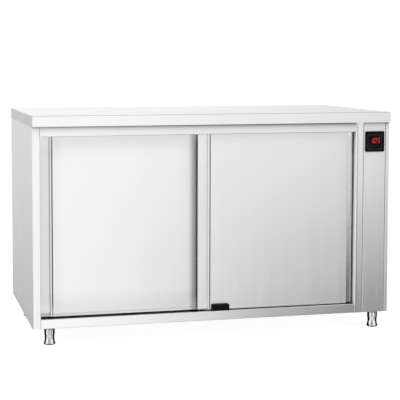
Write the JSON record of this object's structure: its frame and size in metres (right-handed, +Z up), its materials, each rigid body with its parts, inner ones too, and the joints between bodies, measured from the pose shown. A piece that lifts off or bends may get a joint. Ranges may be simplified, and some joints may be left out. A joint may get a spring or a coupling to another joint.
{
  "type": "plate warmer cabinet",
  "caption": "Free-standing stainless steel plate warmer with overlapping sliding doors, a control strip with a square touch display, a folded worktop, an inner shelf and adjustable feet.",
  "frame": {"origin": "centre of the footprint, on the floor under the worktop's middle", "axes": "+X to the right seen from the front, +Y to the back, +Z up; the doors face -Y"},
  "size_m": [1.4, 0.7, 0.85],
  "materials": {
    "brushed_steel": "satin brushed stainless steel, fine grain along the sheet",
    "liner_steel": "mill finish stainless steel",
    "zinc_plated_steel": "zinc plated steel sheet",
    "screw_steel": "bright pan head screws",
    "polished_steel": "polished stainless steel",
    "black_plastic": "black moulded plastic",
    "display_glass": "black gloss touch display",
    "white_nylon": "natural nylon",
    "black_rubber": "moulded rubber",
    "mineral_wool": "mineral wool slab",
    "element_steel": "heat-tinted sheathing",
    "cast_aluminium": "pressed aluminium",
    "shaft_steel": "ground steel",
    "motor_casing": "black painted casing"
  },
  "bodies": {
    "cabinet": {"worktop": "brushed_steel", "left_side_panel": "brushed_steel", "right_side_panel": "brushed_steel", "door_post": "brushed_steel", "top_rail": "brushed_steel", "bottom_rail": "brushed_steel", "back_panel": "brushed_steel", "control_fascia": "brushed_steel", "chamber_left_wall": "liner_steel", "chamber_right_wall": "liner_steel", "chamber_back_wall": "liner_steel", "chamber_floor": "liner_steel", "chamber_ceiling": "liner_steel", "shelf": "liner_steel", "shelf_supports": "liner_steel", "air_intake_cover": "liner_steel", "worktop_stiffeners": "zinc_plated_steel", "base_panel": "zinc_plated_steel", "door_tracks": "zinc_plated_steel", "heater_box": "zinc_plated_steel", "leg_nut_plates": "zinc_plated_steel", "body_screws": "screw_steel", "leg_sleeves": "polished_steel", "bottom_door_guide": "black_plastic", "display_bezel": "black_plastic", "controller_housing": "black_plastic", "mains_gland": "black_plastic", "display_glass": "display_glass", "terminal_block": "white_nylon", "track_stops": "black_rubber", "cabinet_insulation": "mineral_wool", "heating_element": "element_steel", "temperature_probe": "element_steel", "fan_motor": "motor_casing", "safety_thermostat": "motor_casing"},
    "left_door": {"left_door_outer_skin": "brushed_steel", "left_door_inner_skin": "liner_steel", "left_door_insulation": "mineral_wool", "left_door_hangers": "zinc_plated_steel", "left_door_hanger_screws": "screw_steel", "left_door_roller_axles": "zinc_plated_steel"},
    "right_door": {"right_door_outer_skin": "brushed_steel", "right_door_inner_skin": "liner_steel", "right_door_insulation": "mineral_wool", "right_door_hangers": "zinc_plated_steel", "right_door_hanger_screws": "screw_steel", "right_door_roller_axles": "zinc_plated_steel"},
    "left_door_left_rollers": {"left_door_left_rollers": "white_nylon"},
    "left_door_right_rollers": {"left_door_right_rollers": "white_nylon"},
    "right_door_left_rollers": {"right_door_left_rollers": "white_nylon"},
    "right_door_right_rollers": {"right_door_right_rollers": "white_nylon"},
    "fan_rotor": {"fan_impeller": "cast_aluminium", "fan_shaft": "shaft_steel"},
    "front_left_foot": {"front_left_foot": "polished_steel"},
    "front_right_foot": {"front_right_foot": "polished_steel"},
    "rear_left_foot": {"rear_left_foot": "polished_steel"},
    "rear_right_foot": {"rear_right_foot": "polished_steel"}
  },
  "joints": [
    {"name": "left_door_slide", "type": "slide", "parent": "cabinet", "child": "left_door", "axis": [1, 0, 0], "range_m": [0, 0.556]},
    {"name": "right_door_slide", "type": "slide", "parent": "cabinet", "child": "right_door", "axis": [1, 0, 0], "range_m": [-0.556, 0]},
    {"name": "left_door_left_roller_spin", "type": "hinge", "parent": "left_door", "child": "left_door_left_rollers", "pos_m": [-0.585, -0.282, 0.7963], "axis": [0, 1, 0], "range_deg": [0, 3983]},
    {"name": "left_door_right_roller_spin", "type": "hinge", "parent": "left_door", "child": "left_door_right_rollers", "pos_m": [-0.121, -0.282, 0.7963], "axis": [0, 1, 0], "range_deg": [0, 3983]},
    {"name": "right_door_left_roller_spin", "type": "hinge", "parent": "right_door", "child": "right_door_left_rollers", "pos_m": [0.014, -0.309, 0.7963], "axis": [0, 1, 0], "range_deg": [-3983, 0]},
    {"name": "right_door_right_roller_spin", "type": "hinge", "parent": "right_door", "child": "right_door_right_rollers", "pos_m": [0.478, -0.309, 0.7963], "axis": [0, 1, 0], "range_deg": [-3983, 0]},
    {"name": "fan_spin", "type": "hinge", "parent": "cabinet", "child": "fan_rotor", "pos_m": [0.6, 0.03, 0.265], "axis": [1, 0, 0], "continuous": true},
    {"name": "front_left_foot_height", "type": "slide", "parent": "cabinet", "child": "front_left_foot", "axis": [0, 0, -1], "range_m": [0, 0.015]},
    {"name": "front_right_foot_height", "type": "slide", "parent": "cabinet", "child": "front_right_foot", "axis": [0, 0, -1], "range_m": [0, 0.015]},
    {"name": "rear_left_foot_height", "type": "slide", "parent": "cabinet", "child": "rear_left_foot", "axis": [0, 0, -1], "range_m": [0, 0.015]},
    {"name": "rear_right_foot_height", "type": "slide", "parent": "cabinet", "child": "rear_right_foot", "axis": [0, 0, -1], "range_m": [0, 0.015]}
  ],
  "couplings": [
    {"joint": "left_door_left_roller_spin", "follows": "left_door_slide", "rad_per_m": 125},
    {"joint": "left_door_right_roller_spin", "follows": "left_door_slide", "rad_per_m": 125},
    {"joint": "right_door_left_roller_spin", "follows": "right_door_slide", "rad_per_m": 125},
    {"joint": "right_door_right_roller_spin", "follows": "right_door_slide", "rad_per_m": 125}
  ]
}
